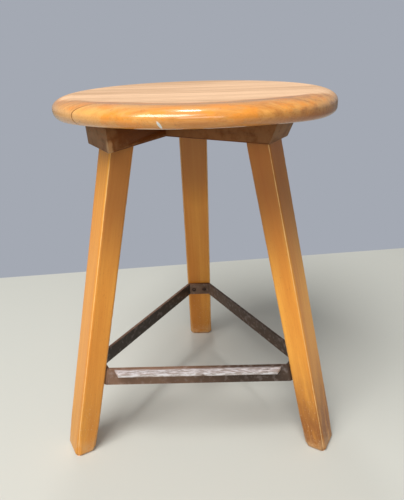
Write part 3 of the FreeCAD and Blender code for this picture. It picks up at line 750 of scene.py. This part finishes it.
def seatBoard(bench, size):
    rows = size["underRows"] + 2.0 * size["arcRows"] + 1.0 + size["topRows"]
    sheet = unitSheet(bench, size["around"] + 1, rows + 1.0)
    at = bench.add("GeometryNodeInputPosition")
    turn = (at.pick(0) + 0.5) * (2 * math.pi)
    row = ((at.pick(1) + 0.5) * rows).rounded()

    # the blank's half section: underside, lower arc, short flat, upper arc, top
    radius, low = size["radius"], size["top"] - size["thickness"]
    under = (row / size["underRows"]).within(0.0, 1.0)
    row = row - size["underRows"]
    lowArc = (row / size["arcRows"]).within(0.0, 1.0) * (math.pi / 2)
    row = row - size["arcRows"]
    flat = row.within(0.0, 1.0)
    topArc = ((row - 1.0) / size["arcRows"]).within(0.0, 1.0) * (math.pi / 2)
    across = ((row - 1.0 - size["arcRows"]) / size["topRows"]).within(0.0, 1.0)
    lowRound = size["lowRound"] * (1.0 - bench.ramp(turn.cosine(), 0.35, 0.85) * size["squareRight"])
    flatHeight = size["thickness"] - size["topRound"] - lowRound
    far = (radius - lowRound) * under + lowRound * lowArc.sine()
    far = far - size["topWide"] * (1.0 - topArc.cosine()) - (radius - size["topWide"]) * across
    level = low + lowRound * (1.0 - lowArc.cosine()) + flatHeight * flat
    level = level + size["topRound"] * topArc.sine()

    # dished and rubbed by use: everything goes inward or down
    x, y = far * turn.cosine() + size["shiftX"], far * turn.sine()
    raised = bench.ramp(abs(y) - x * 0.12, 0.07, 0.165) * size["lift"]
    level = level + raised * (size["top"] - level) / size["thickness"]
    here = bench.vector(x, y, level)
    waves = bench.noise(here * (14.0, 30.0, 30.0), 1.0, 2.0)
    dents = bench.ramp(bench.noise(here, 120.0, 2.0, 0.5), 0.62, 0.75)
    share = far / radius
    dish = (1.0 - bench.ramp(share, 0.15, 0.93)) * size["dish"]
    upper = across.above(0.0)
    rim = 1.0 - under.below(1.0).atLeast(upper)
    level = level - upper * (dish + waves * size["unevenness"])
    shrink = 1.0 - rim * (waves * size["unevenness"] + dents * 0.0005) / radius
    chipUp = level - size["chipZ"]
    chipAcross = x - size["chipX"] + chipUp * 0.55
    chipAway = (chipAcross * chipAcross * 5.0 + chipUp * chipUp * 0.6) ** 0.5    # a slim upright oval
    chip = bench.ramp(chipAway, 0.002, 0.0038, 1.0, 0.0) * y.below(size["chipY"] + 0.02)
    shrink = shrink - chip * size["chipDepth"] / radius
    blank = bench.vector((x - size["shiftX"]) * shrink + size["shiftX"], y * shrink, level)
    shape = rolled(bench, sheet, blank)

    # the slab that leaves one board, with the joint that has opened at the left end
    slab = bench.add("GeometryNodeMeshCube", {}, {"Size": (0.5, 1.0, 0.2), "Vertices X": 120,
                                                  "Vertices Y": 2, "Vertices Z": 2}, "Mesh")
    end = at.pick(0)
    opened = bench.ramp(end, size["crackX"], size["crackX"] + size["crackLength"], 1.0, 0.0)
    wander = bench.noise(bench.vector(end * 90.0, 0.0, 3.0), 1.0, 2.0) - 0.5
    crack = opened * size["crackWidth"]
    side = at.pick(1).above(0.0)
    edge = size["lowEdge"] * (1.0 - side) + size["highEdge"] * side
    edge = edge + crack * (size["openLow"] * (1.0 - side) - size["openHigh"] * side) * (0.5 + wander)
    placed = bench.vector(end, edge, at.pick(2) + size["top"])
    slab = bench.add("GeometryNodeSetPosition", {}, {"Geometry": slab, "Position": placed})
    board = bench.add("GeometryNodeMeshBoolean", {"operation": "INTERSECT", "solver": "EXACT"},
                      {"Mesh 2": [shape, slab]})
    return noted(bench, board, "board", size["seed"])


def makeSeat():
    width = seat["boardWidth"]
    count = seat["boards"]
    for i in range(count):
        low = (i - count / 2) * width if i else -0.2                    # the outer boards end at the rim
        high = (i + 1 - count / 2) * width if i < count - 1 else 0.2
        sizes = dict(seat, lowEdge=low, highEdge=high, openLow=float(i == 1), openHigh=float(i == 0),
                     seed=float(i * i % 11 + 1))
        board = grow(f"seatBoard{i + 1}", sizes, seatBoard, finishes["seat"])
        fit(board, f"seat_board_{i + 1}")


makeSeat()
print("seat boards grown")


# ---- bearers and foot ring: the frame's own solids, their edges eased and worn

eased = {
    # node: piece, slot, finish, edge radius, smallest angle of an eased edge
    "cross_bearer": ("crossBearer", "bearer_beech", "cross", 0.0009, 25),
    "stem_bearer": ("stemBearer", "bearer_beech", "stem", 0.0009, 25),
    "foot_ring": ("footRing", "brown_steel", "steel", 0.0005, 50),
}


def easeEdges(node, name, slot, finish, radius, angle):
    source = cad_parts[node]
    mesh = source.data.copy()
    mesh.name = name
    mesh.transform(source.matrix_world)
    work = bmesh.new()
    work.from_mesh(mesh)
    bmesh.ops.remove_doubles(work, verts=work.verts[:], dist=0.000002)
    bmesh.ops.dissolve_limit(work, angle_limit=math.radians(0.6), verts=work.verts[:],
                             edges=work.edges[:])
    sharp = [e for e in work.edges if e.is_manifold and e.calc_face_angle(0) > math.radians(angle)
             and e.calc_length() > radius * 2.2]
    result = bmesh.ops.bevel(work, geom=sharp, offset=radius, segments=3, profile=0.5, affect="EDGES",
                             clamp_overlap=True)
    bmesh.ops.triangulate(work, faces=[f for f in work.faces if len(f.verts) > 4])
    work.verts.index_update()
    worn = {v.index for f in result["faces"] if f.is_valid for v in f.verts}
    work.to_mesh(mesh)
    work.free()
    wear = mesh.attributes.new("wear", "FLOAT", "POINT")
    for index in worn:
        wear.data[index].value = 1.0
    mesh.materials.clear()
    mesh.materials.append(finishes[finish])
    mesh.shade_smooth()
    mesh.set_sharp_from_angle(angle=math.radians(30))
    piece = bpy.data.objects.new(name, mesh)
    bpy.context.scene.collection.objects.link(piece)
    fit(piece, node)


for node, values in eased.items():
    easeEdges(node, *values)
print("bearers and ring eased")


# ---- screws: turned, slotted, and set in pairs

screw = {
    "headRadius": 0.0048, "dome": 0.0, "rounding": 0.0, "cone": 0.0023,
    "shankRadius": 0.0025, "length": 0.045, "point": 0.005,
    "slotWidth": 0.0011, "slotDepth": 0.0013, "around": 64,
}

ringScrew = dict(screw, headRadius=0.0035, dome=0.0026, rounding=0.0021, cone=0.0,
                 shankRadius=0.002, length=0.020)

screwPlaces = {
    "ringMiddle": 0.115, "ringThickness": 0.004, "ringSpacing": 0.018,
    "toLeg": 0.0207, "stemInner": 0.020,
}

ringNodes = {
    # piece: node, the leg that it is in, seed
    "ringScrewsBack": ("ring_screws_back", "legBack", 3),
    "ringScrewsFrontLeft": ("ring_screws_front_left", "legFrontLeft", 5),
    "ringScrewsFrontRight": ("ring_screws_front_right", "legFrontRight", 8),
}


def moved(bench, shape, by, turn=(0.0, 0.0, 0.0)):
    return bench.add("GeometryNodeTransform", {},
                     {"Geometry": shape, "Translation": by, "Rotation": turn})


def screwPair(bench, size):
    arcRows = 10
    rows = arcRows + 6      # and one each for crown, rim, cone, shank, point and tip
    sheet = unitSheet(bench, size["around"] + 1, rows + 1)
    at = bench.add("GeometryNodeInputPosition")
    turn = (at.pick(0) + 0.5) * (-2 * math.pi)
    row = ((at.pick(1) + 0.5) * rows).rounded()
    arc = ((row - 1.0) / arcRows).within(0.0, 1.0) * (math.pi / 2)
    flat = row.within(0.0, 1.0)
    row = row - arcRows - 1.0
    toRim, toShank, toPoint, toTip = [(row - k).within(0.0, 1.0) for k in (0.0, 1.0, 2.0, 3.0)]
    far = (size["headRadius"] - size["rounding"]) * flat + size["rounding"] * arc.sine()
    far = far - (size["headRadius"] - size["shankRadius"]) * toShank - size["shankRadius"] * toTip
    rise = size["rounding"] * (1.0 - arc.cosine()) - size["dome"]
    rise = rise + (size["dome"] - size["rounding"]) * toRim
    rise = rise + size["cone"] * toShank + (size["length"] - size["point"] - size["cone"]) * toPoint
    rise = rise + size["point"] * toTip
    shape = rolled(bench, sheet, bench.vector(far * turn.cosine(), far * turn.sine(), rise))
    slotSize = bench.vector(size["headRadius"] * 3.0, size["slotWidth"], size["slotDepth"] * 2.0)
    slot = bench.add("GeometryNodeMeshCube", {}, {"Size": slotSize}, "Mesh")
    slot = moved(bench, slot, bench.vector(0.0, 0.0, -size["dome"]))
    shape = bench.add("GeometryNodeMeshBoolean", {"operation": "DIFFERENCE", "solver": "EXACT"},
                      {"Mesh 1": shape, "Mesh 2": slot})
    first = bench.vector(0.0, size["middle"] - size["spacing"] / 2.0, 0.0)
    pair = bench.add("GeometryNodeMeshLine", {}, {"Count": 2, "Start Location": first,
                                                  "Offset": bench.vector(0.0, size["spacing"], 0.0)})
    spin = bench.add("FunctionNodeRandomValue", {"data_type": "FLOAT"},
                     {"Min": 0.0, "Max": 3.1, "Seed": size["seed"]}, "Value")
    pair = bench.add("GeometryNodeInstanceOnPoints", {}, {"Points": pair, "Instance": shape,
                                                          "Rotation": bench.vector(0.0, 0.0, spin)})
    pair = moved(bench, pair, bench.vector(0.0, 0.0, -size["sunk"]))
    pair = moved(bench, pair, bench.vector(size["out"], 0.0, size["height"]),
                 bench.vector(0.0, size["tilt"], 0.0))
    return moved(bench, pair, (0.0, 0.0, 0.0), bench.vector(0.0, 0.0, size["azimuth"]))


def makeScrews():
    slope = math.tan(leg["splay"])
    face = leg["footRadius"] - screwPlaces["ringMiddle"] * slope - leg["thickness"] / 2
    for name, (node, legName, seed) in ringNodes.items():
        sizes = dict(ringScrew, spacing=screwPlaces["ringSpacing"], middle=0.0, out=face, seed=seed,
                     sunk=screwPlaces["ringThickness"], tilt=math.pi / 2 - leg["splay"],
                     height=screwPlaces["ringMiddle"], azimuth=math.radians(azimuths[legName]))
        fit(grow(name, sizes, screwPair, finishes["brownScrew"]), node)

    centre = leg["footRadius"] - leg["shoulder"] * slope
    inner = centre - leg["thickness"] / 2
    crossHalf = inner * math.cos(math.radians(30)) - screwPlaces["toLeg"]
    stemFirst, stemLast = screwPlaces["stemInner"], inner - screwPlaces["toLeg"]
    stemMiddle, stemSpacing = -(stemFirst + stemLast) / 2, stemLast - stemFirst
    rows = (("crossScrews", "cross_bearer_screws", 150, centre / 2, 0.0, crossHalf * 2),
            ("stemScrews", "stem_bearer_screws", 60, 0.0, stemMiddle, stemSpacing))
    for name, node, azimuth, out, middle, spacing in rows:
        sizes = dict(screw, spacing=spacing, middle=middle, out=out, seed=azimuth, sunk=0.0, tilt=0.0,
                     height=leg["shoulder"], azimuth=math.radians(azimuth))
        fit(grow(name, sizes, screwPair, finishes["plainScrew"]), node)


makeScrews()
print("screws set")


# ---- the dowels stay as the frame has them

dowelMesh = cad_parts["bearer_dowels"].data
dowelMesh.materials.clear()
dowelMesh.materials.append(finishes["dowel"])
print("dowels finished")
